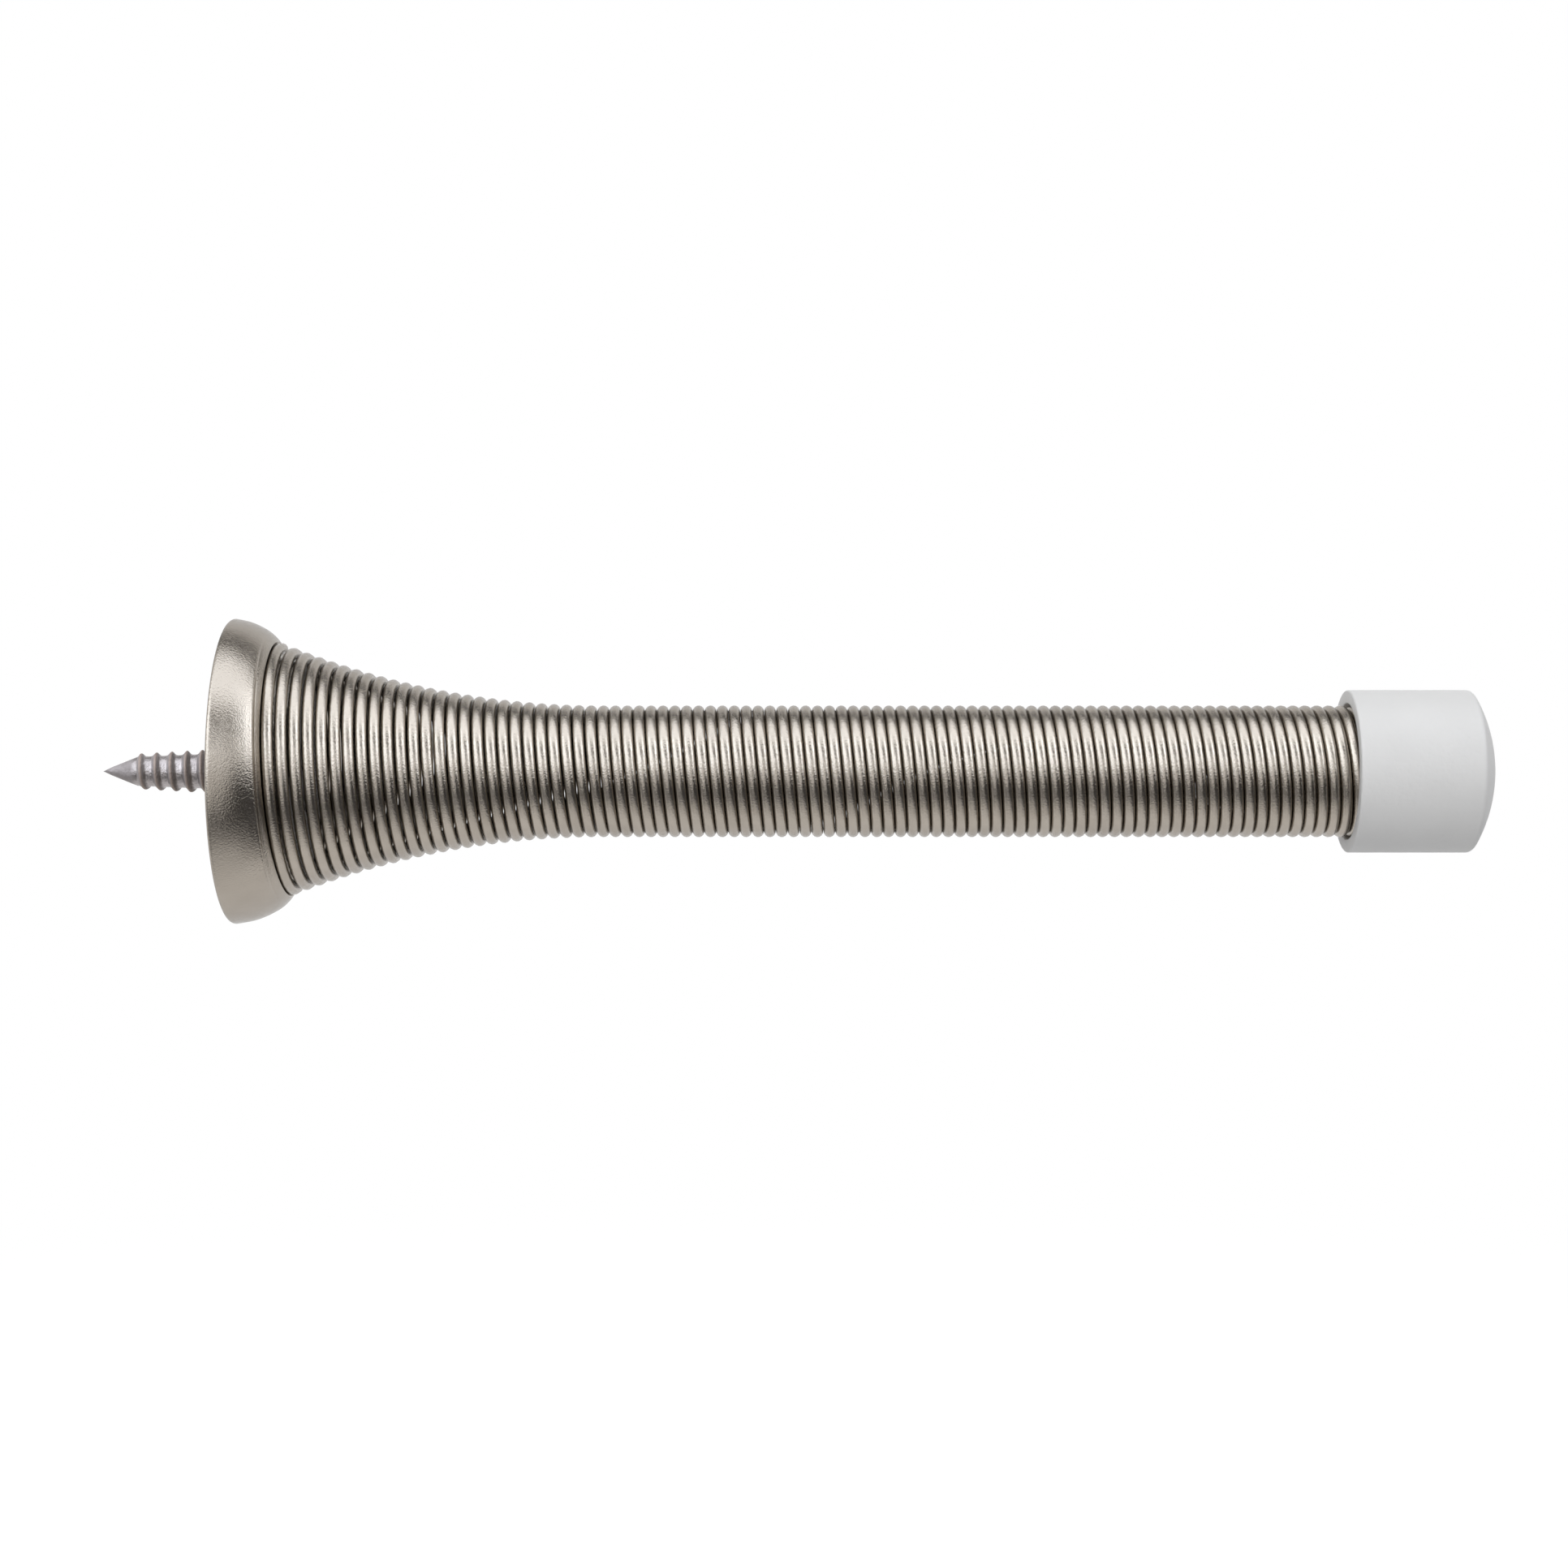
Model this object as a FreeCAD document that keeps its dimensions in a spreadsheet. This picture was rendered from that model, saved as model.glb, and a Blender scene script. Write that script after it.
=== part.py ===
# Spring door stop: a screw-on base, a flared close-wound spring and a soft tip.
# X runs from the wall out along the stop, Z is up, and the origin is the centre of the
# base's rim on the wall. Lengths are in millimetres.
import FreeCAD, Part
import math
import os

doc = FreeCAD.newDocument("spring_door_stop")
sheet = doc.addObject("Spreadsheet::Sheet", "Sizes")

sizes = [
    # whole stop
    ("projection", "79.4"),
    ("seat_gap", "0.02"),
    # base
    ("rim_diameter", "19.3"),
    ("rim_edge", "0.25"),
    ("seat_height", "3.07"),
    ("shoulder_draft", "0.3"),
    ("shoulder_drop", "1.4"),
    ("cup_wall", "0.9"),
    ("neck_length", "1.5"),
    ("neck_gap", "0.06"),
    ("boss_diameter", "6.6"),
    ("boss_setback", "1.2"),
    # spring
    ("wire_diameter", "0.742"),
    ("coil_gap", "0.008"),
    ("flare_gap", "0.029"),
    ("coil_diameter", "8.33"),
    ("mouth_diameter", "16.2"),
    ("flare_length", "20.3"),
    # thread on the base's neck, in the valley between the first two turns
    ("thread_diameter", "0.34"),
    ("thread_gap", "0.03"),
    # tip
    ("tip_diameter", "10.26"),
    ("tip_length", "9.15"),
    ("tip_dome", "1.46"),
    ("tip_edge", "0.4"),
    ("tip_lip", "0.12"),
    ("tip_floor", "1.3"),
    ("bore_gap", "0.1"),
    # screw
    ("screw_diameter", "2.66"),
    ("shank_diameter", "2.2"),
    ("screw_gap", "0.1"),
    ("thread_run", "0.6"),
    ("screw_reach", "8.25"),
    ("point_length", "2.6"),
    ("point_flat", "0.2"),
    ("head_diameter", "5.0"),
    ("head_edge", "0.25"),
    ("head_depth", "1.3"),
    ("recess_width", "0.65"),
    ("recess_span", "2.6"),
    ("recess_depth", "1.0"),
    # worked out from the sizes above
    ("rim_radius", "=rim_diameter / 2"),
    ("wire_radius", "=wire_diameter / 2"),
    ("mouth_radius", "=(mouth_diameter - wire_diameter) / 2"),
    ("coil_radius", "=(coil_diameter - wire_diameter) / 2"),
    ("flare_rise", "=mouth_radius - coil_radius"),
    ("flare_radius", "=(flare_length ^ 2 + flare_rise ^ 2) / (2 * flare_rise)"),
    ("flare_turns", "=round(flare_length / (wire_diameter + flare_gap))"),
    ("flare_pitch", "=flare_length / flare_turns"),
    ("flare_left", "=flare_length - flare_pitch"),
    ("second_radius", "=coil_radius + flare_radius - sqrt(flare_radius ^ 2 - flare_left ^ 2)"),
    ("seat_lean", "=atan(flare_pitch / (mouth_radius + second_radius))"),
    ("flare_slope", "=(mouth_radius - second_radius) / flare_pitch"),
    ("lean_rise", "=flare_pitch * mouth_radius / (mouth_radius + second_radius)"),
    ("spring_start", "=seat_height + (wire_radius + seat_gap) / cos(seat_lean) - lean_rise"),
    ("close_pitch", "=wire_diameter + coil_gap"),
    ("close_start", "=spring_start + flare_length"),
    ("tip_mouth", "=projection - tip_length"),
    ("bore_limit", "=projection - tip_dome - tip_floor"),
    ("close_turns", "=floor((bore_limit - wire_radius - close_start) / close_pitch)"),
    ("spring_end", "=close_start + close_turns * close_pitch"),
    ("bore_floor", "=spring_end + wire_radius + seat_gap"),
    ("neck_end", "=seat_height + neck_length"),
    ("neck_root", "=seat_height - cup_wall"),
    ("neck_inset", "=(wire_radius + neck_gap) * sqrt(1 + flare_slope ^ 2)"),
    ("neck_top", "=mouth_radius - neck_inset - flare_slope * (neck_end - spring_start)"),
    ("neck_foot", "=mouth_radius - neck_inset - flare_slope * (neck_root - spring_start)"),
]
for row, (name, value) in enumerate(sizes, start=1):
    sheet.set("A%d" % row, name)
    sheet.set("B%d" % row, value)
    sheet.setAlias("B%d" % row, name)
doc.recompute()


def size(name):
    value = sheet.get(name)
    return getattr(value, "Value", value)


def bound(kind, name, x, **values):
    """A Part object whose own axis lies along X from the place x, with its sizes bound to the sheet."""
    made = doc.addObject("Part::" + kind, name)
    made.Placement.Rotation = FreeCAD.Rotation(FreeCAD.Vector(0, 1, 0), 90)
    made.setExpression("Placement.Base.x", x)
    for key, formula in values.items():
        made.setExpression(key, formula)
    return made


def joined(kind, name, *pieces):
    made = doc.addObject("Part::" + kind, name)
    if kind == "Cut":
        made.Base, made.Tool = pieces
    else:
        made.Shapes = list(pieces)
    return made


def rounded(name, base, radius, *corners):
    """Rounds the round edges of base that lie at the given (x, radius) corners."""
    doc.recompute()
    near = 0.02
    picked = []
    for number, edge in enumerate(base.Shape.Edges, start=1):
        place = edge.CenterOfMass.x
        reach = edge.Length / (2 * math.pi)
        if edge.isClosed() and any(abs(place - x) < near and abs(reach - r) < near for x, r in corners):
            picked.append((number, size(radius), size(radius)))
    made = doc.addObject("Part::Fillet", name)
    made.Base = base
    made.Edges = picked
    return made


def flare_profile(x):
    """Radius of the wire's centre line at a place x: an arc that runs out into the straight part."""
    left = size("close_start") - x
    if left <= 0:
        return size("coil_radius")
    arc = size("flare_radius")
    return size("coil_radius") + arc - math.sqrt(arc ** 2 - left ** 2)


def half_rings(name, tops):
    """A coil of half rings: each leans forward to the next place in front and stands square behind."""
    corners = []
    for here, after in zip(tops[:-1], tops[1:]):
        corners.append(FreeCAD.Vector(here[0], 0, here[1]))
        corners.append(FreeCAD.Vector(after[0], 0, -after[1]))
    corners.append(FreeCAD.Vector(tops[-1][0], 0, tops[-1][1]))
    arcs = []
    front = -1
    for start, end in zip(corners[:-1], corners[1:]):
        reach = (end - start).Length / 2
        middle = (start + end) / 2 + FreeCAD.Vector(0, front * reach, 0)
        arcs.append(Part.Arc(start, middle, end).toShape())
        front = -front
    made = doc.addObject("Part::Feature", name)
    made.Shape = Part.Wire(arcs)
    return made


def swept(name, spine, diameter):
    """Round wire along a coil of half rings."""
    section = doc.addObject("Part::Circle", name + "_section")
    section.setExpression("Radius", "Sizes.%s / 2" % diameter)
    section.Placement.Base = spine.Shape.Vertexes[0].Point
    section.Placement.Rotation = FreeCAD.Rotation(FreeCAD.Vector(1, 0, 0), 90)
    doc.recompute()
    made = doc.addObject("Part::Sweep", name)
    made.Sections = [section]
    made.Spine = (spine, ["Edge%d" % (n + 1) for n in range(len(spine.Shape.Edges))])
    made.Solid = True
    made.Frenet = False
    made.Transition = "Transformed"
    return made


# Spring: the turns of the flare, then the close-wound straight part.
flare_count = int(size("flare_turns"))
close_count = int(size("close_turns"))
turn_places = [size("spring_start") + size("flare_pitch") * n for n in range(flare_count)]
turn_places += [size("close_start") + size("close_pitch") * n for n in range(close_count + 1)]
coil = half_rings("coil_line", [(x, flare_profile(x)) for x in turn_places])
spring = swept("wire", coil, "wire_diameter")
spring.Label = "spring"

# Base: a shoulder that leans over to the spring's first turn, drawn as circles from rim to seat.
shoulder_steps = 6
rings = []
for step in range(shoulder_steps + 1):
    turn = 90 * step / shoulder_steps
    up = "sin(%d deg)" % turn
    over = "(1 - cos(%d deg))" % turn
    ring = bound(
        "Circle",
        "shoulder_ring_%d" % step,
        "Sizes.seat_height * " + up,
        Radius="Sizes.rim_radius - Sizes.shoulder_draft * %s - Sizes.shoulder_drop * %s" % (up, over),
    )
    ring.setExpression("Placement.Rotation.Angle", "90 deg - Sizes.seat_lean * " + up)
    rings.append(ring)
shoulder = doc.addObject("Part::Loft", "shoulder")
shoulder.Sections = rings
shoulder.Solid = True

# The neck fills the first turns, with a thread that holds them.
neck = bound(
    "Cone",
    "neck",
    "Sizes.neck_root",
    Radius1="Sizes.neck_foot",
    Radius2="Sizes.neck_top",
    Height="Sizes.neck_end - Sizes.neck_root",
)
neck_end = rounded("neck_end", neck, "rim_edge", (size("neck_end"), size("neck_top")))

slope = math.atan(size("flare_slope"))
half_step = size("flare_pitch") / 2 / math.cos(slope)
touch = size("wire_radius") + size("thread_diameter") / 2 + size("thread_gap")
valley = math.sqrt(touch ** 2 - half_step ** 2)
thread_places = []
for place in turn_places[:2]:
    middle = place + size("flare_pitch") / 2
    thread_x = middle - valley * math.sin(slope)
    thread_radius = flare_profile(middle) - valley * math.cos(slope)
    thread_places.append((thread_x, thread_radius))
neck_thread = swept("neck_thread", half_rings("thread_line", thread_places), "thread_diameter")

# The back is hollow around a boss for the screw.
rim_hollow = bound(
    "Cone",
    "rim_hollow",
    "0",
    Radius1="Sizes.rim_radius - Sizes.cup_wall",
    Radius2="Sizes.rim_radius - Sizes.cup_wall - Sizes.shoulder_draft - Sizes.shoulder_drop / 2",
    Height="Sizes.neck_root",
)
neck_hollow = bound(
    "Cone",
    "neck_hollow",
    "Sizes.neck_root",
    Radius1="Sizes.neck_foot - Sizes.cup_wall",
    Radius2="Sizes.neck_top - Sizes.cup_wall",
    Height="Sizes.neck_end - Sizes.cup_wall - Sizes.neck_root",
)
boss = bound(
    "Cylinder",
    "boss",
    "Sizes.boss_setback",
    Radius="Sizes.boss_diameter / 2",
    Height="Sizes.neck_end - Sizes.boss_setback",
)
screw_hole = bound(
    "Cylinder",
    "screw_hole",
    "0",
    Radius="Sizes.screw_diameter / 2 + Sizes.screw_gap",
    Height="Sizes.neck_end",
)
head_cone = "Sizes.head_depth - Sizes.head_edge"
head_seat = bound(
    "Cone",
    "head_seat",
    "Sizes.neck_end - Sizes.head_depth - Sizes.seat_gap",
    Radius1="Sizes.shank_diameter / 2",
    Radius2="Sizes.head_diameter / 2",
    Height=head_cone,
)
head_room = bound(
    "Cylinder",
    "head_room",
    "Sizes.neck_end - Sizes.head_edge - Sizes.seat_gap",
    Radius="Sizes.head_diameter / 2 + Sizes.seat_gap",
    Height="Sizes.head_edge + 2 * Sizes.seat_gap",
)
shell = joined("Cut", "shell", joined("MultiFuse", "cup", shoulder, neck_end, neck_thread),
               joined("MultiFuse", "hollow", rim_hollow, neck_hollow))
drilled = joined("Cut", "drilled", joined("MultiFuse", "bossed", shell, boss),
                 joined("MultiFuse", "screw_way", screw_hole, head_seat, head_room))
base = rounded("base", drilled, "rim_edge", (0, size("rim_radius")))
base.Label = "base"

# Screw: countersunk head in the neck, smooth shank in the boss, threaded length out at the wall.
shank = bound(
    "Cylinder",
    "shank",
    "Sizes.thread_run",
    Radius="Sizes.shank_diameter / 2",
    Height="Sizes.neck_end - Sizes.thread_run",
)
threaded = bound(
    "Cylinder",
    "threaded",
    "Sizes.point_length - Sizes.screw_reach",
    Radius="Sizes.screw_diameter / 2",
    Height="Sizes.screw_reach - Sizes.point_length + Sizes.thread_run",
)
point = bound(
    "Cone",
    "point",
    "-Sizes.screw_reach",
    Radius1="Sizes.point_flat / 2",
    Radius2="Sizes.screw_diameter / 2",
    Height="Sizes.point_length",
)
head = bound(
    "Cone",
    "head",
    "Sizes.neck_end - Sizes.head_depth",
    Radius1="Sizes.shank_diameter / 2",
    Radius2="Sizes.head_diameter / 2",
    Height=head_cone,
)
head_rim = bound(
    "Cylinder",
    "head_rim",
    "Sizes.neck_end - Sizes.head_edge",
    Radius="Sizes.head_diameter / 2",
    Height="Sizes.head_edge",
)
slots = []
for name, wide, tall in (
    ("slot_upright", "recess_width", "recess_span"),
    ("slot_level", "recess_span", "recess_width"),
):
    slot = doc.addObject("Part::Box", name)
    slot.setExpression("Length", "Sizes.recess_depth")
    slot.setExpression("Width", "Sizes." + wide)
    slot.setExpression("Height", "Sizes." + tall)
    slot.setExpression("Placement.Base.x", "Sizes.neck_end - Sizes.recess_depth")
    slot.setExpression("Placement.Base.y", "-Sizes.%s / 2" % wide)
    slot.setExpression("Placement.Base.z", "-Sizes.%s / 2" % tall)
    slots.append(slot)
screw = joined("Cut", "screw", joined("MultiFuse", "screw_body", shank, threaded, point, head, head_rim),
               joined("MultiFuse", "recess", *slots))
screw.Label = "mounting_screw"

# Tip: a soft cap with a domed end, pushed over the last turns.
tip_bar = bound(
    "Cylinder",
    "tip_bar",
    "Sizes.tip_mouth",
    Radius="Sizes.tip_diameter / 2",
    Height="Sizes.tip_length",
)
dome_radius = "((Sizes.tip_diameter / 2) ^ 2 + Sizes.tip_dome ^ 2) / (2 * Sizes.tip_dome)"
dome = bound("Sphere", "dome", "Sizes.projection - " + dome_radius, Radius=dome_radius)
domed = joined("MultiCommon", "domed", tip_bar, dome)
dome_foot = size("projection") - size("tip_dome")
tip_radius = size("tip_diameter") / 2
bore_radius = size("coil_diameter") / 2 + size("bore_gap")
bore = bound(
    "Cylinder",
    "bore",
    "Sizes.tip_mouth",
    Radius="Sizes.coil_diameter / 2 + Sizes.bore_gap",
    Height="Sizes.bore_floor - Sizes.tip_mouth",
)
edged = rounded("edged", domed, "tip_edge", (dome_foot, tip_radius))
bored = joined("Cut", "bored", edged, bore)
tip = rounded("tip", bored, "tip_lip", (size("tip_mouth"), tip_radius), (size("tip_mouth"), bore_radius))
tip.Label = "bumper_tip"

doc.recompute()
os.makedirs("parts", exist_ok=True)
for piece in (base, spring, screw, tip):
    if "Invalid" in piece.State or "Error" in piece.State:
        raise RuntimeError("%s could not be made" % piece.Label)
    shape = piece.Shape
    if shape.isNull() or not shape.isValid() or len(shape.Solids) != 1:
        raise RuntimeError("%s is not one sound solid" % piece.Label)
    shape.exportStep("parts/%s.step" % piece.Label)
    box = shape.BoundBox
    print(piece.Label, "volume %.1f mm3" % shape.Volume, "x %.2f to %.2f" % (box.XMin, box.XMax))
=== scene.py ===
import math
import bpy
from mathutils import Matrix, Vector
from mathutils.geometry import interpolate_bezier


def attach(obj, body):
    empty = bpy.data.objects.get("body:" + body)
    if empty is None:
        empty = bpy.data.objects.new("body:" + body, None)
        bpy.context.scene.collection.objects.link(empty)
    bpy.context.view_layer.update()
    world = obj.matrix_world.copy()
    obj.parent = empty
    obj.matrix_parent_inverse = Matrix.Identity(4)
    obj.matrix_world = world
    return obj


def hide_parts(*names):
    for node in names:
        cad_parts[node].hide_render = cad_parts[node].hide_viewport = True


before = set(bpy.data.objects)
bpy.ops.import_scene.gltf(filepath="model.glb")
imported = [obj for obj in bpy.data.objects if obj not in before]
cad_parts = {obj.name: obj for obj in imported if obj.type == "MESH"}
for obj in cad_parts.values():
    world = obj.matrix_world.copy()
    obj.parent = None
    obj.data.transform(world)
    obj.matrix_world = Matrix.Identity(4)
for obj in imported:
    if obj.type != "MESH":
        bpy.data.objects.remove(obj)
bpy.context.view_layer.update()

mm = 0.001


def hexColour(text):  # sRGB hex to the linear colour that a socket takes
    channels = [int(text[i:i + 2], 16) / 255 for i in (1, 3, 5)]
    return tuple(c / 12.92 if c <= 0.04045 else ((c + 0.055) / 1.055) ** 2.4 for c in channels) + (1,)


def addNode(tree, kind, settings={}, links={}):  # settings go to sockets or properties, links to sockets
    node = tree.nodes.new("ShaderNode" + kind)
    for key, value in settings.items():
        if key in node.inputs:
            node.inputs[key].default_value = value
        else:
            setattr(node, key, value)
    for key, source in links.items():
        tree.links.new(source, node.inputs[key])
    return node


def between(rows, value):  # rows of (place, value, ...) in order, read off in straight lines
    for low, high in zip(rows[:-1], rows[1:]):
        if value <= high[0]:
            break
    share = min(1, max(0, (value - low[0]) / (high[0] - low[0])))
    return [a + (b - a) * share for a, b in zip(low[1:], high[1:])]


def newMaterial(name):
    material = bpy.data.materials.new(name)
    material.use_nodes = True
    tree = material.node_tree
    return material, tree, tree.nodes["Principled BSDF"]


# camera: square to the stop, as far off as the rim's and the tip's ellipses say
view = {
    "place": (34.75, -185.0, -0.8),
    "lens": 67.25,
    "sensor": 36.0,
    "clipStart": 5.0,
}
bpy.ops.object.camera_add(location=[v * mm for v in view["place"]], rotation=(math.radians(90), 0, 0))
camera = bpy.context.object
camera.name = "photoCamera"
camera.data.lens = view["lens"]
camera.data.sensor_width = view["sensor"]
camera.data.clip_start = view["clipStart"] * mm
bpy.context.scene.camera = camera
bpy.context.scene.view_settings.view_transform = "Standard"
print("camera set")


# turned work: a ring is drawn out along X from row to row, each row (x, radius, lean in degrees, rise)
def turnPiece(name, rows, sides, joinEnds=False):
    bpy.ops.object.select_all(action="DESELECT")
    x, r, lean, rise = rows[0]
    bpy.ops.mesh.primitive_circle_add(
        vertices=sides, radius=r * mm, location=(x * mm, 0, rise * mm),
        rotation=(0, math.radians(90 - lean), 0),
    )
    piece = bpy.context.object
    piece.name = name
    bpy.ops.object.transform_apply(location=True, rotation=True, scale=True)
    bpy.ops.object.mode_set(mode="EDIT")
    bpy.ops.mesh.select_mode(type="EDGE")
    bpy.ops.mesh.select_all(action="SELECT")
    for (x0, r0, lean0, rise0), (x1, r1, lean1, rise1) in zip(rows[:-1], rows[1:]):
        bpy.ops.mesh.extrude_edges_move(
            TRANSFORM_OT_translate={"value": ((x1 - x0) * mm, 0, (rise1 - rise0) * mm)}
        )
        middle = (x1 * mm, 0, rise1 * mm)
        bpy.ops.transform.resize(value=(r1 / r0,) * 3, center_override=middle)
        if lean1 != lean0:
            bpy.ops.transform.rotate(
                value=math.radians(lean1 - lean0), orient_axis="Y", center_override=middle
            )
    if joinEnds:
        bpy.ops.mesh.select_all(action="DESELECT")
        bpy.ops.mesh.select_non_manifold()
        bpy.ops.mesh.bridge_edge_loops()
    else:
        bpy.ops.mesh.merge(type="CENTER")  # the last ring closes to a point
        bpy.ops.mesh.select_all(action="DESELECT")
        bpy.ops.mesh.select_non_manifold()
        bpy.ops.mesh.edge_face_add()  # the first ring gets a flat end
    bpy.ops.mesh.select_all(action="SELECT")
    bpy.ops.mesh.normals_make_consistent(inside=False)
    bpy.ops.object.mode_set(mode="OBJECT")
    return piece


def roundCorner(x, r, radius, start, end, steps):  # rows on an arc, angles from +X towards outwards
    rows = []
    for i in range(steps + 1):
        a = math.radians(start + (end - start) * i / steps)
        rows.append((x + radius * math.cos(a), r + radius * math.sin(a), 0, 0))
    return rows


def smoothLine(points, steps):  # a curve through the points, at even steps between each two
    line = []
    last = len(points) - 1
    for i in range(last):
        before, start, end, after = (Vector(points[min(max(i + n, 0), last)]) for n in (-1, 0, 1, 2))
        handles = start + (end - before) / 6, end - (after - start) / 6
        line += interpolate_bezier(start, *handles, end, steps + 1)[:-1]
    return line + [Vector(points[-1])]


def finishPiece(piece, node, material, creaseAngle):  # edges sharper than the angle stay crisp
    bpy.ops.object.select_all(action="DESELECT")
    piece.select_set(True)
    bpy.context.view_layer.objects.active = piece
    bpy.ops.object.shade_smooth_by_angle(angle=math.radians(creaseAngle))
    piece.data.materials.clear()
    piece.data.materials.append(material)
    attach(piece, "root")
    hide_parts(node)
    print(node, "made,", len(piece.data.polygons), "faces")


# Satin nickel plate on a die-cast cup: warm grey metal, a soft gloss with the fine
# orange peel of the cast skin under the plate, and a few hairline marks from handling.
def castNickel():
    material, tree, shader = newMaterial("satinNickelOnCasting")
    place = addNode(tree, "TexCoord").outputs["Object"]
    tone = addNode(tree, "TexNoise", {"Scale": 1 / (2.5 * mm), "Detail": 2.0}, {"Vector": place})
    tint = addNode(tree, "ValToRGB", {}, {"Fac": tone.outputs["Fac"]})
    tint.color_ramp.elements[0].position = 0.3
    tint.color_ramp.elements[0].color = hexColour("#A0988E")
    tint.color_ramp.elements[1].position = 0.7
    tint.color_ramp.elements[1].color = hexColour("#A9A197")
    # the photo's grain is about 0.05 mm, one of its pixels, and is drawn a little coarser to hold
    peel = addNode(
        tree, "TexNoise", {"Scale": 1 / (0.11 * mm), "Detail": 2.0, "Roughness": 0.6}, {"Vector": place}
    )
    # hairlines are the tops of a noise that is drawn out at 23 degrees to the stop's length
    lie = addNode(
        tree, "Mapping",
        {"vector_type": "TEXTURE", "Rotation": (0, 0.4, 0), "Scale": (1.6 * mm, 1.6 * mm, 0.1 * mm)},
        {"Vector": place},
    )
    marks = addNode(tree, "TexNoise", {"Scale": 1.0, "Detail": 0.0}, {"Vector": lie.outputs["Vector"]})
    hairline = addNode(
        tree, "MapRange", {"From Min": 0.78, "From Max": 0.85, "To Max": -0.13},
        {"Value": marks.outputs["Fac"]},
    )
    height = addNode(
        tree, "Math", {"operation": "ADD"}, {0: peel.outputs["Fac"], 1: hairline.outputs["Result"]}
    )
    sheen = addNode(
        tree, "MapRange", {"From Min": 0.3, "From Max": 0.7, "To Min": 0.16, "To Max": 0.22},
        {"Value": tone.outputs["Fac"]},
    )
    bump = addNode(
        tree, "Bump", {"Strength": 1.0, "Distance": 0.025 * mm}, {"Height": height.outputs["Value"]}
    )
    shader.inputs["Metallic"].default_value = 1.0
    shader.inputs["Specular Tint"].default_value = hexColour("#E6E6E6")
    tree.links.new(tint.outputs["Color"], shader.inputs["Base Color"])
    tree.links.new(sheen.outputs["Result"], shader.inputs["Roughness"])
    tree.links.new(bump.outputs["Normal"], shader.inputs["Normal"])
    return material


# Nickel-plated spring wire: drawn steel, about as glossy as the cup, with a fine
# sparkle where the plate follows the drawn skin.
def wireNickel():
    material, tree, shader = newMaterial("nickelOnSpringWire")
    place = addNode(tree, "TexCoord").outputs["Object"]
    tone = addNode(tree, "TexNoise", {"Scale": 1 / (3.0 * mm), "Detail": 2.0}, {"Vector": place})
    tint = addNode(tree, "ValToRGB", {}, {"Fac": tone.outputs["Fac"]})
    tint.color_ramp.elements[0].position = 0.3
    tint.color_ramp.elements[0].color = hexColour("#A29A90")
    tint.color_ramp.elements[1].position = 0.7
    tint.color_ramp.elements[1].color = hexColour("#AEA69C")
    # the photo's grain is about 0.075 mm here, and is drawn coarser, about 0.12 mm, to show
    grain = addNode(
        tree, "TexNoise", {"Scale": 1 / (0.1 * mm), "Detail": 2.0, "Roughness": 0.6}, {"Vector": place}
    )
    bump = addNode(
        tree, "Bump", {"Strength": 1.0, "Distance": 0.022 * mm}, {"Height": grain.outputs["Fac"]}
    )
    shader.inputs["Metallic"].default_value = 1.0
    shader.inputs["Specular Tint"].default_value = hexColour("#E6E6E6")
    shader.inputs["Roughness"].default_value = 0.18
    tree.links.new(tint.outputs["Color"], shader.inputs["Base Color"])
    tree.links.new(bump.outputs["Normal"], shader.inputs["Normal"])
    return material


# Zinc plate on a rolled wood screw: cooler than nickel and bright in the roots, dull and
# brownish on the crests where it wears, with the small pits of a barrel-plated screw.
def screwZinc():
    material, tree, shader = newMaterial("zincOnRolledScrew")
    place = addNode(tree, "TexCoord").outputs["Object"]
    tone = addNode(tree, "TexNoise", {"Scale": 1 / (0.8 * mm), "Detail": 3.0}, {"Vector": place})
    tint = addNode(tree, "ValToRGB", {}, {"Fac": tone.outputs["Fac"]})
    tint.color_ramp.elements[0].position = 0.3
    tint.color_ramp.elements[0].color = hexColour("#938D8C")
    tint.color_ramp.elements[1].position = 0.7
    tint.color_ramp.elements[1].color = hexColour("#AAA4A4")
    crest = addNode(tree, "Attribute", {"attribute_name": "crest"}).outputs["Fac"]
    worn = addNode(
        tree, "MapRange", {"interpolation_type": "SMOOTHSTEP", "From Min": 0.6, "From Max": 0.95},
        {"Value": crest},
    ).outputs["Result"]
    # sockets 6 and 7 take the two colours, and output 2 gives the mixed one
    colour = addNode(tree, "Mix", {"data_type": "RGBA"}, {0: worn, 6: tint.outputs["Color"]})
    colour.inputs[7].default_value = hexColour("#A59891")
    dull = addNode(
        tree, "MapRange", {"From Max": 0.6, "To Min": 0.25, "To Max": 0.7}, {"Value": crest}
    ).outputs["Result"]
    pits = addNode(tree, "TexNoise", {"Scale": 1 / (0.14 * mm), "Detail": 3.0}, {"Vector": place})
    bump = addNode(
        tree, "Bump", {"Strength": 1.0, "Distance": 0.045 * mm}, {"Height": pits.outputs["Fac"]}
    )
    shader.inputs["Metallic"].default_value = 1.0
    tree.links.new(colour.outputs[2], shader.inputs["Base Color"])
    tree.links.new(dull, shader.inputs["Roughness"])
    tree.links.new(bump.outputs["Normal"], shader.inputs["Normal"])
    return material


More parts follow.
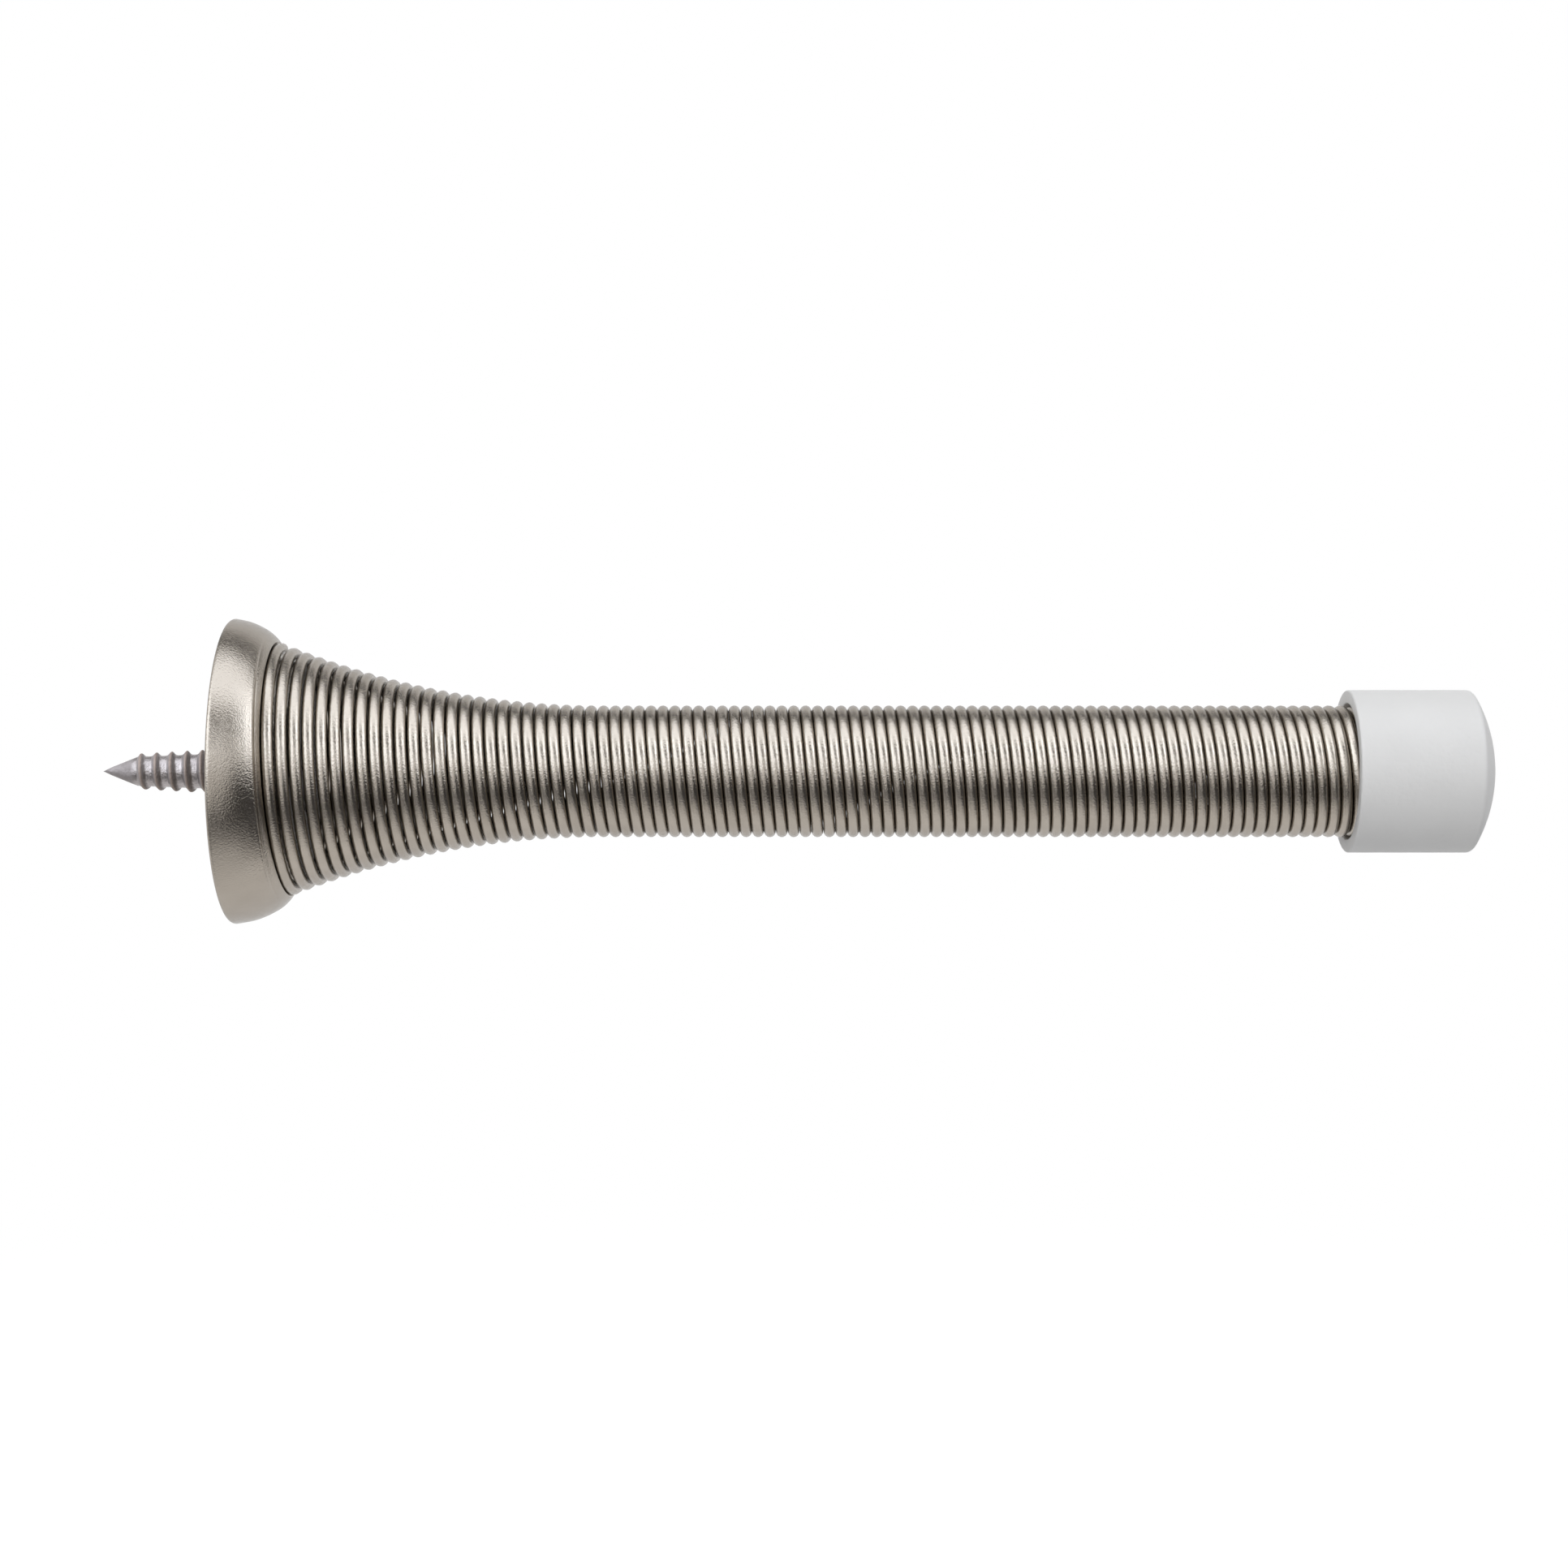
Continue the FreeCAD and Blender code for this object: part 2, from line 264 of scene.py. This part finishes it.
# Moulded white rubber: matte, faintly grey, with the leathery grain of an etched mould.
def mouldedRubber():
    material, tree, shader = newMaterial("mouldedWhiteRubber")
    place = addNode(tree, "TexCoord").outputs["Object"]
    tone = addNode(tree, "TexNoise", {"Scale": 1 / (3.0 * mm), "Detail": 2.0}, {"Vector": place})
    tint = addNode(tree, "ValToRGB", {}, {"Fac": tone.outputs["Fac"]})
    tint.color_ramp.elements[0].color = hexColour("#DEDEDE")
    tint.color_ramp.elements[1].color = hexColour("#E4E4E4")
    grain = addNode(tree, "TexNoise", {"Scale": 1 / (0.45 * mm), "Detail": 3.0}, {"Vector": place})
    bump = addNode(
        tree, "Bump", {"Strength": 1.0, "Distance": 0.03 * mm}, {"Height": grain.outputs["Fac"]}
    )
    shader.inputs["Roughness"].default_value = 0.55
    tree.links.new(tint.outputs["Color"], shader.inputs["Base Color"])
    tree.links.new(bump.outputs["Normal"], shader.inputs["Normal"])
    return material


# spring: one wire, flared at the base, then close-wound and straight to the tip
springShape = {
    "wireDiameter": 0.742,
    "firstTurn": 3.063,  # middle of the wire at its start on the base
    "flareLength": 20.3,
    "flareTurns": 26,
    "mouthRadius": 7.729,  # to the middle of the wire
    "coilRadius": 3.794,
    "closePitch": 0.75,
    "closeTurns": 70,
    "roundSteps": 5,
    "quarterSteps": 12,
    "joinDistance": 0.001,
    "creaseAngle": 40,
}


def flaredRadius(x):
    rise = springShape["mouthRadius"] - springShape["coilRadius"]
    arc = (springShape["flareLength"] ** 2 + rise ** 2) / (2 * rise)
    left = max(0, springShape["firstTurn"] + springShape["flareLength"] - x)
    return springShape["coilRadius"] + arc - math.sqrt(arc ** 2 - left ** 2)


# each turn leans forward to the next one in front and stands square behind
def windWire(name, tops, diameter):
    bpy.ops.object.select_all(action="DESELECT")
    bpy.ops.curve.primitive_bezier_curve_add(location=(0, 0, 0))
    wire = bpy.context.object
    wire.name = name
    line = wire.data
    line.splines.clear()
    corners = []
    for (x0, r0), (x1, r1) in zip(tops[:-1], tops[1:]):
        corners += [Vector((x0, 0, r0)) * mm, Vector((x1, 0, -r1)) * mm]
    corners.append(Vector((tops[-1][0], 0, tops[-1][1])) * mm)
    spline = line.splines.new("BEZIER")
    spline.bezier_points.add(2 * len(corners) - 2)
    for point in spline.bezier_points:
        point.handle_left_type = point.handle_right_type = "FREE"
    pull = 0.5523  # handle length that makes a quarter circle, in radii
    front = -1
    for i, (start, end) in enumerate(zip(corners[:-1], corners[1:])):
        side = Vector((0, front * (end - start).length / 2, 0))
        along = (end - start) / 2
        first, middle, last = (spline.bezier_points[2 * i + n] for n in range(3))
        first.co = start
        first.handle_right = start + pull * side
        middle.co = start + along + side
        middle.handle_left = middle.co - pull * along
        middle.handle_right = middle.co + pull * along
        last.co = end
        last.handle_left = end + pull * side
        front = -front
    spline.bezier_points[0].handle_left = corners[0]
    spline.bezier_points[-1].handle_right = corners[-1]
    line.dimensions = "3D"
    line.bevel_depth = diameter / 2 * mm
    line.bevel_resolution = springShape["roundSteps"]
    line.resolution_u = springShape["quarterSteps"]
    line.use_fill_caps = True
    bpy.ops.object.convert(target="MESH")
    bpy.ops.object.mode_set(mode="EDIT")
    bpy.ops.mesh.select_all(action="SELECT")
    bpy.ops.mesh.remove_doubles(threshold=springShape["joinDistance"] * mm)
    bpy.ops.mesh.normals_make_consistent(inside=False)
    bpy.ops.object.mode_set(mode="OBJECT")
    return wire


flarePitch = springShape["flareLength"] / springShape["flareTurns"]
closeStart = springShape["firstTurn"] + springShape["flareLength"]
turnPlaces = [springShape["firstTurn"] + flarePitch * n for n in range(springShape["flareTurns"])]
turnPlaces += [closeStart + springShape["closePitch"] * n for n in range(springShape["closeTurns"] + 1)]
spring = windWire("springWire", [(x, flaredRadius(x)) for x in turnPlaces], springShape["wireDiameter"])
finishPiece(spring, "spring", wireNickel(), springShape["creaseAngle"])


# base: a cup with a rounded shoulder that leans to the first turn, hollow behind, with a boss for the screw
baseShape = {
    "rimRadius": 9.65,
    "rimEdge": 0.25,
    "seatHeight": 3.07,
    "seatLean": 2.95,
    "seatRise": 0.154,  # the first turn sits a little above the axis, and the seat with it
    "shoulderFront": (  # x and radius in front and behind: a fine step, then a land beside the first turn
        (0.25, 9.62), (0.62, 9.56), (1.19, 9.44), (1.75, 9.27), (2.29, 9.03), (2.56, 8.87), (2.77, 8.72),
        (2.855, 8.42), (2.885, 8.39), (2.98, 8.21), (3.08, 7.97),
    ),
    "shoulderTop": (  # the same at the top and bottom, to a lip that lies over the first turn
        (0.25, 9.62), (0.62, 9.56), (1.19, 9.44), (1.75, 9.24), (2.29, 8.97), (2.56, 8.80), (2.75, 8.65),
        (2.85, 8.56), (2.95, 8.46), (3.10, 8.28), (3.27, 8.03),
    ),
    "seatFront": ((3.085, 7.93), (3.08, 7.75), (3.073, 7.62)),
    "seatTop": ((3.20, 7.88), (3.12, 7.78), (3.08, 7.675)),
    "cupWall": 0.9,
    "neckEnd": 4.57,
    "neckTop": 6.672,
    "neckFoot": 7.618,
    "neckRoot": 2.17,
    "hollowFoot": 7.75,
    "bossRadius": 3.3,
    "bossSetback": 1.2,
    "holeRadius": 1.43,
    "bossEdge": 0.15,
    "headRadius": 2.52,
    "headEdge": 0.25,
    "sinkFoot": 3.55,  # where the countersink ends in the hole
    "rimSteps": 5,
    "lineSteps": 4,
    "neckSteps": 4,
    "sides": 192,
    "creaseAngle": 25,
}


def makeBase():
    cup = baseShape
    edge = cup["rimEdge"]
    slope = (cup["neckFoot"] - cup["neckTop"]) / (cup["neckEnd"] - cup["neckRoot"])
    neckAtSeat = cup["neckFoot"] - slope * (cup["seatHeight"] - cup["neckRoot"])
    rows = [(0, cup["rimRadius"] - cup["cupWall"], 0, 0)]
    rows += roundCorner(edge, cup["shoulderFront"][0][1] - edge, edge, 180, 90, cup["rimSteps"])[:-1]
    shaped = len(rows)
    steps = cup["lineSteps"]
    front = [tuple(point) for point in smoothLine(cup["shoulderFront"], steps)] + list(cup["seatFront"])
    top = [tuple(point) for point in smoothLine(cup["shoulderTop"], steps)] + list(cup["seatTop"])
    for x, r in front:
        share = min(1, (x - edge) / (cup["shoulderFront"][-1][0] - edge))
        rows.append((x, r, cup["seatLean"] * share, cup["seatRise"] * share ** 2))
    rows.append((cup["seatHeight"], neckAtSeat, cup["seatLean"], 0))
    rows.append((cup["neckEnd"] - edge, cup["neckTop"] + slope * edge, 0, 0))
    rows += roundCorner(cup["neckEnd"] - edge, cup["neckTop"] - edge, edge, 70, 0, cup["neckSteps"])
    rows.append((cup["neckEnd"], cup["headRadius"], 0, 0))
    rows.append((cup["neckEnd"] - cup["headEdge"], cup["headRadius"], 0, 0))
    rows.append((cup["sinkFoot"], cup["holeRadius"], 0, 0))
    rows.append((cup["bossSetback"], cup["holeRadius"], 0, 0))
    rows.append((cup["bossSetback"], cup["bossRadius"] - cup["bossEdge"], 0, 0))
    rows.append((cup["bossSetback"] + cup["bossEdge"], cup["bossRadius"], 0, 0))
    rows.append((cup["neckEnd"] - cup["cupWall"], cup["bossRadius"], 0, 0))
    rows.append((cup["neckEnd"] - cup["cupWall"], cup["neckTop"] - cup["cupWall"], 0, 0))
    rows.append((cup["neckRoot"], cup["neckFoot"] - cup["cupWall"], 0, 0))
    rows.append((cup["neckRoot"], cup["hollowFoot"], 0, 0))
    piece = turnPiece("baseCup", rows, cup["sides"], joinEnds=True)
    # the rings are turned to the front's line, and drawn to the top's by their angle
    for vertex in piece.data.vertices:
        row = vertex.index // cup["sides"] - shaped
        if not 0 <= row < len(front):
            continue
        rise = rows[row + shaped][3] * mm
        upright = 1 - (vertex.co.y / mm / front[row][1]) ** 2
        grow = 1 + (top[row][1] / front[row][1] - 1) * upright
        vertex.co.x += (top[row][0] - front[row][0]) * upright * mm
        vertex.co.y *= grow
        vertex.co.z = rise + (vertex.co.z - rise) * grow
    return piece


base = makeBase()
finishPiece(base, "base", castNickel(), baseShape["creaseAngle"])


# tip: a soft cap with a domed end, open to the spring
tipShape = {
    "mouth": 70.25,
    "end": 79.4,
    "radius": 5.13,
    "domeRise": 1.46,
    "edge": 0.4,
    "lip": 0.12,
    "boreRadius": 4.265,
    "boreFloor": 76.254,
    "domeStop": 0.4,  # degrees off the axis, where the last ring closes to a point
    "lipSteps": 4,
    "edgeSteps": 8,
    "domeSteps": 24,
    "sides": 160,
    "creaseAngle": 50,
}


def makeTip():
    cap = tipShape
    domeRadius = (cap["radius"] ** 2 + cap["domeRise"] ** 2) / (2 * cap["domeRise"])
    domeMiddle = cap["end"] - domeRadius
    edgeRadius = cap["radius"] - cap["edge"]
    edgePlace = domeMiddle + math.sqrt((domeRadius - cap["edge"]) ** 2 - edgeRadius ** 2)
    meet = math.degrees(math.atan2(edgeRadius, edgePlace - domeMiddle))
    lip = cap["lip"]
    rows = [(cap["boreFloor"], cap["boreRadius"], 0, 0)]
    rows += roundCorner(cap["mouth"] + lip, cap["boreRadius"] + lip, lip, 270, 180, cap["lipSteps"])
    rows += roundCorner(cap["mouth"] + lip, cap["radius"] - lip, lip, 180, 90, cap["lipSteps"])
    rows += roundCorner(edgePlace, edgeRadius, cap["edge"], 90, meet, cap["edgeSteps"])
    rows += roundCorner(domeMiddle, 0, domeRadius, meet, cap["domeStop"], cap["domeSteps"])[1:]
    return turnPiece("tipCap", rows, cap["sides"])


tip = makeTip()
finishPiece(tip, "bumper_tip", mouldedRubber(), tipShape["creaseAngle"])


# screw: a point, a rolled thread, and a countersunk head with a cross recess
screwShape = {
    "tipPlace": -8.25,
    "tipRadius": 0.04,
    "coneEnd": -6.05,
    "rootStart": 0.92,
    "rootEnd": 1.19,
    "crestStart": 1.14,
    "crestEnd": 1.36,
    "pitch": 0.963,
    "crestOnTop": -5.82,  # where a crest crosses the top
    "frontLean": 0.25,  # how far it runs on from the top to the bottom in front
    "crestTaper": 0.058,  # how much higher the crests get for each millimetre from the point
    "ridgeSharpness": 2.5,
    "runOut": (0.02, 0.05),  # share of the thread over which it dies out, at the point and at the shank
    "threadEnd": 0.6,
    "threadSteps": 120,
    "coneShares": (0.15, 0.3, 0.5, 0.75, 1.0),
    "pointFlat": 0.02,
    "shankRadius": 1.1,
    "shankFoot": 0.8,  # where the shank starts to narrow to the thread's root
    "plainWear": 0.6,  # how worn the plate is off the thread, where 1 is a crest
    "headPlace": 3.27,
    "headEnd": 4.57,
    "headRadius": 2.5,
    "headEdge": 0.25,
    "recessWidth": 0.65,
    "recessSpan": 2.6,
    "recessDepth": 1.0,
    "cutterProud": 0.2,
    "sides": 72,
    "creaseAngle": 40,
}


def makeScrew():
    shape = screwShape
    rows = [(shape["headEnd"], shape["headRadius"], 0, 0)]
    rows.append((shape["headEnd"] - shape["headEdge"], shape["headRadius"], 0, 0))
    rows.append((shape["headPlace"], shape["shankRadius"], 0, 0))
    rows.append((shape["shankFoot"], shape["shankRadius"], 0, 0))
    for i in range(shape["threadSteps"] + 1):
        share = i / shape["threadSteps"]
        x = shape["threadEnd"] + (shape["coneEnd"] - shape["threadEnd"]) * share
        rows.append((x, shape["rootEnd"] + (shape["rootStart"] - shape["rootEnd"]) * share, 0, 0))
    for share in shape["coneShares"]:
        x = shape["coneEnd"] + (shape["tipPlace"] + shape["pointFlat"] - shape["coneEnd"]) * share
        rows.append((x, shape["rootStart"] + (shape["tipRadius"] - shape["rootStart"]) * share, 0, 0))
    piece = turnPiece("screwBody", rows, shape["sides"])
    crestShare = piece.data.attributes.new("crest", "FLOAT", "POINT")
    run = shape["threadEnd"] - shape["coneEnd"]
    for vertex in piece.data.vertices:
        x, y, z = vertex.co / mm
        share = (shape["threadEnd"] - x) / run
        crestShare.data[vertex.index].value = shape["plainWear"]
        if not 0 < share < 1:
            continue
        turn = math.atan2(-y, z) / math.pi  # 0 on top, 1 below by the near side, -1 by the far side
        lean = shape["frontLean"] * turn if turn > 0 else (shape["frontLean"] - shape["pitch"]) * -turn
        phase = (x - shape["crestOnTop"] - lean) / shape["pitch"]
        ridge = (0.5 + 0.5 * math.cos(2 * math.pi * phase)) ** shape["ridgeSharpness"]
        ridge *= min(1, (1 - share) / shape["runOut"][0], share / shape["runOut"][1])
        root = math.hypot(y, z)
        rise = shape["crestTaper"] * (x - shape["crestOnTop"])
        crest = min(shape["crestEnd"], shape["crestStart"] + rise)
        grow = 1 + (crest - root) * ridge / root
        crestShare.data[vertex.index].value = ridge
        vertex.co.y *= grow
        vertex.co.z *= grow
    return piece


def cutRecess(piece):
    shape = screwShape
    proud = shape["cutterProud"]
    place = (shape["headEnd"] - shape["recessDepth"] / 2 + proud / 2) * mm
    slot = (shape["recessWidth"], shape["recessSpan"])
    for wide, tall in (slot, slot[::-1]):
        bpy.ops.object.select_all(action="DESELECT")
        bpy.ops.mesh.primitive_cube_add(size=1, location=(place, 0, 0))
        cutter = bpy.context.object
        cutter.scale = ((shape["recessDepth"] + proud) * mm, wide * mm, tall * mm)
        bpy.ops.object.transform_apply(location=True, rotation=True, scale=True)
        bpy.context.view_layer.objects.active = piece
        cut = piece.modifiers.new("recess", "BOOLEAN")
        cut.object = cutter
        cut.operation = "DIFFERENCE"
        cut.solver = "EXACT"
        bpy.ops.object.modifier_apply(modifier=cut.name)
        bpy.data.objects.remove(cutter)


screw = makeScrew()
cutRecess(screw)
finishPiece(screw, "mounting_screw", screwZinc(), screwShape["creaseAngle"])


# studio: a pale table, soft boxes over and beside the camera, and reflection cards for the metal's bands
studio = {
    "tableHeight": -70.0,
    "tableSize": 3000.0,
    "tableLift": 0.6,  # share of the table's white that is its own glow; the rest is lit and shows shadows
    "tableLit": (110.0, 300.0),  # distance over which the lit paper runs out into plain white
    "worldFill": 0.6,  # the white room's strength as a light, where the eye sees 1
    "boxTint": (0.94, 1.02, 1.13),  # cool, so that the warm plate's highlights come out plain white
    "middle": 35.0,
    # name, degrees round to the right of the camera, degrees up, distance, width, height, glow
    "metalBoxes": (
        ("overheadBox", 0.0, 74.0, 840.0, 4500.0, 705.0, 1.2),
        ("frontBox", 2.0, 19.0, 960.0, 690.0, 270.0, 0.75),
        ("rightBox", 64.0, 25.0, 960.0, 840.0, 645.0, 1.45),
        ("leftBox", -44.0, 18.0, 960.0, 1170.0, 780.0, 1.6),
    ),
    "mattBoxes": (  # the same, for what isn't metal
        ("mattOverhead", 0.0, 84.0, 300.0, 500.0, 300.0, 0.12),
        ("mattFront", 0.0, 30.0, 320.0, 400.0, 200.0, 2.0),
    ),
    "gapCard": (17.0, 35.0, 600.0, 570.0, 160.0, 0.2),  # between the boxes, set out like them
    # dark arch over the stop: degrees of roll from the right, and its edges' angles from behind
    "archEdges": (
        (36, 62, 45), (46, 68, 47), (54, 74, 52), (70, 77, 55), (90, 78, 56), (110, 74, 55), (126, 67, 48),
        (142, 55, 38), (150, 50, 36),
    ),
    "archDistance": 900.0,
    "archGlow": 0.14,
    "archCuts": 30,
    "lowDistance": 840.0,  # card under the front, with its glow by angle
    "lowLength": 5100.0,
    "lowCuts": 40,
    "lowGlow": (  # angle from behind over the stop, and the glow there
        (176, 1.08), (184, 1.0), (190, 0.93), (196, 0.76), (202, 0.5), (208, 0.24), (214, 0.06),
        (220, 0.06), (226, 0.34), (232, 0.56), (239, 0.71), (247, 0.84), (257, 0.94), (270, 1.02),
        (285, 1.1),
    ),
    "lowDarkest": 216.0,
    "lowEarlySpan": 39.0,  # degrees before the darkest over which lowEarly's shift dies out
    "lowEarly": (  # degrees round to the right, and by how many the dark part starts earlier there
        (-90, 34), (-60, 30), (-45, 8), (-30, -30), (-18, -60), (-4, -54), (8, -14), (20, 22), (35, 42),
        (90, 42),
    ),
    # degrees round to the right, and the least glow there
    "lowLeast": ((-110, 0.7), (-90, 0.5), (-60, 0.34), (-30, 0.18), (0, 0.1), (40, 0.06), (90, 0.12)),
    "sideCard": (900.0, -540.0, 450.0, -780.0, -24.0, 0.1),  # low on the right: x, limits in y and z, glow
}


def whiteToTheEye(tree):  # 1 for the rays that show the surroundings, to the camera or in metal
    rays = addNode(tree, "LightPath")
    seen = rays.outputs["Is Camera Ray"]
    for way in ("Is Glossy Ray", "Is Transmission Ray"):
        either = addNode(tree, "Math", {"operation": "MAXIMUM"}, {0: seen, 1: rays.outputs[way]})
        seen = either.outputs["Value"]
    return seen


def whiteRoom():
    world = bpy.data.worlds.new("whiteRoom")
    world.use_nodes = True
    bpy.context.scene.world = world
    tree = world.node_tree
    strength = addNode(
        tree, "MapRange", {"To Min": studio["worldFill"], "To Max": 1.0}, {"Value": whiteToTheEye(tree)}
    )
    tree.nodes["Background"].inputs["Color"].default_value = (1, 1, 1, 1)
    tree.links.new(strength.outputs["Result"], tree.nodes["Background"].inputs["Strength"])


def paperTable():
    bpy.ops.object.select_all(action="DESELECT")
    bpy.ops.mesh.primitive_plane_add(
        size=studio["tableSize"] * mm, location=(studio["middle"] * mm, 0, studio["tableHeight"] * mm)
    )
    table = bpy.context.object
    table.name = "tableTop"
    bpy.ops.object.transform_apply(location=True, rotation=True, scale=True)
    material, tree, shader = newMaterial("whitePaperTable")
    spot = addNode(
        tree, "VectorMath", {"operation": "DISTANCE"}, {0: addNode(tree, "TexCoord").outputs["Object"]}
    )
    spot.inputs[1].default_value = (studio["middle"] * mm, 0, studio["tableHeight"] * mm)
    near, far = studio["tableLit"]
    fade = addNode(
        tree, "MapRange", {"interpolation_type": "SMOOTHSTEP", "From Min": near * mm, "From Max": far * mm},
        {"Value": spot.outputs["Value"]},
    )
    paper = addNode(tree, "ValToRGB", {}, {"Fac": fade.outputs["Result"]})
    paper.color_ramp.elements[0].color = hexColour("#D2D2D2")
    paper.color_ramp.elements[1].color = hexColour("#000000")
    lift = addNode(tree, "MapRange", {"To Min": studio["tableLift"]}, {"Value": fade.outputs["Result"]})
    glow = addNode(
        tree, "Math", {"operation": "MULTIPLY"}, {0: lift.outputs["Result"], 1: whiteToTheEye(tree)}
    )
    shader.inputs["Roughness"].default_value = 1.0
    shader.inputs["Specular IOR Level"].default_value = 0.0
    shader.inputs["Emission Color"].default_value = (1, 1, 1, 1)
    tree.links.new(paper.outputs["Color"], shader.inputs["Base Color"])
    tree.links.new(glow.outputs["Value"], shader.inputs["Emission Strength"])
    table.data.materials.append(material)
    table.visible_glossy = False  # the metal shows the cards and the white room


def boxPlace(around, up, distance):
    flat = distance * math.cos(math.radians(up))
    x = studio["middle"] + flat * math.sin(math.radians(around))
    y = -flat * math.cos(math.radians(around))
    return (x * mm, y * mm, distance * math.sin(math.radians(up)) * mm)


def softBox(name, around, up, distance, width, height, glow):
    bpy.ops.object.light_add(
        type="AREA", location=boxPlace(around, up, distance),
        rotation=(math.radians(90 - up), 0, math.radians(around)),
    )
    box = bpy.context.object
    box.name = name
    box.data.shape = "RECTANGLE"
    box.data.size = width * mm
    box.data.size_y = height * mm
    box.data.energy = glow * math.pi * box.data.size * box.data.size_y  # a larger box looks no brighter
    box.visible_camera = False
    return box


def softBoxes():
    for row in studio["metalBoxes"]:
        box = softBox(*row)
        box.data.color = studio["boxTint"]
        box.visible_diffuse = False
    for row in studio["mattBoxes"]:
        box = softBox(*row)
        box.visible_glossy = False


# a card that the metal shows, and that neither shades nor hides anything
def reflectionCard(card, name, finish, glow=None):
    card.name = name
    material, tree, shader = newMaterial(finish)
    shader.inputs["Base Color"].default_value = hexColour("#000000")
    shader.inputs["Specular IOR Level"].default_value = 0.0
    shader.inputs["Emission Color"].default_value = (1, 1, 1, 1)
    if glow is None:  # then the card holds its own
        ownGlow = addNode(tree, "Attribute", {"attribute_name": "glow"}).outputs["Fac"]
        tree.links.new(ownGlow, shader.inputs["Emission Strength"])
    else:
        shader.inputs["Emission Strength"].default_value = glow
    card.data.materials.append(material)
    card.visible_camera = False
    card.visible_diffuse = False
    card.visible_shadow = False


def flatCloth(cuts):  # a square of side 1, cut up so that it can be laid round the stop
    bpy.ops.object.select_all(action="DESELECT")
    bpy.ops.mesh.primitive_plane_add(size=1, location=(0, 0, 0))
    bpy.ops.object.mode_set(mode="EDIT")
    bpy.ops.mesh.select_all(action="SELECT")
    bpy.ops.mesh.subdivide(number_cuts=cuts)
    bpy.ops.object.mode_set(mode="OBJECT")
    return bpy.context.object


def gapCard():
    around, up, distance, width, height, glow = studio["gapCard"]
    bpy.ops.object.select_all(action="DESELECT")
    bpy.ops.mesh.primitive_plane_add(
        size=1, location=boxPlace(around, up, distance),
        rotation=(math.radians(90 - up), 0, math.radians(around)),
    )
    card = bpy.context.object
    card.scale = (width * mm, height * mm, 1)
    bpy.ops.object.transform_apply(location=True, rotation=True, scale=True)
    reflectionCard(card, "gapCard", "greyCard", glow)


def darkArch():
    edges = studio["archEdges"]
    first, last = edges[0][0], edges[-1][0]
    arch = flatCloth(studio["archCuts"])
    for vertex in arch.data.vertices:
        roll = first + (last - first) * (vertex.co.x + 0.5)
        near, far = between(edges, roll)
        angle = math.radians(near + (far - near) * (vertex.co.y + 0.5))
        roll = math.radians(roll)
        way = Vector((math.sin(angle) * math.cos(roll), math.cos(angle), math.sin(angle) * math.sin(roll)))
        vertex.co = Vector((studio["middle"] * mm, 0, 0)) + way * studio["archDistance"] * mm
    reflectionCard(arch, "darkArch", "darkArchCloth", studio["archGlow"])


def lowCard():
    glows = studio["lowGlow"]
    first, last = glows[0][0], glows[-1][0]
    darkest, distance = studio["lowDarkest"], studio["lowDistance"]
    card = flatCloth(studio["lowCuts"])
    shade = card.data.attributes.new("glow", "FLOAT", "POINT")
    for vertex in card.data.vertices:
        angle = first + (last - first) * (vertex.co.y + 0.5)
        along = vertex.co.x * studio["lowLength"]
        ahead, below = math.cos(math.radians(angle)), -math.sin(math.radians(angle))
        depth = math.degrees(math.atan2(below, math.hypot(ahead, along / distance)))
        turn = 180 + depth if angle < 270 else 360 - depth
        around = math.degrees(math.atan2(along / distance, -ahead))
        early = between(studio["lowEarly"], around)[0] * max(0, (darkest - turn) / studio["lowEarlySpan"])
        glow = between(glows, min(turn + early, max(turn, darkest)))[0]
        shade.data[vertex.index].value = max(glow, between(studio["lowLeast"], around)[0])
        vertex.co = Vector((studio["middle"] + along, distance * ahead, -distance * below)) * mm
    reflectionCard(card, "lowCard", "gradedCard")


def sideCard():
    x, near, far, low, high, glow = studio["sideCard"]
    bpy.ops.object.select_all(action="DESELECT")
    bpy.ops.mesh.primitive_plane_add(
        size=1, rotation=(0, math.radians(-90), 0),
        location=((studio["middle"] + x) * mm, (near + far) / 2 * mm, (low + high) / 2 * mm),
    )
    card = bpy.context.object
    card.scale = ((high - low) * mm, (far - near) * mm, 1)
    bpy.ops.object.transform_apply(location=True, rotation=True, scale=True)
    reflectionCard(card, "sideCard", "darkSideCloth", glow)


def setStudio():
    whiteRoom()
    paperTable()
    softBoxes()
    gapCard()
    darkArch()
    lowCard()
    sideCard()
    print("studio set")


setStudio()
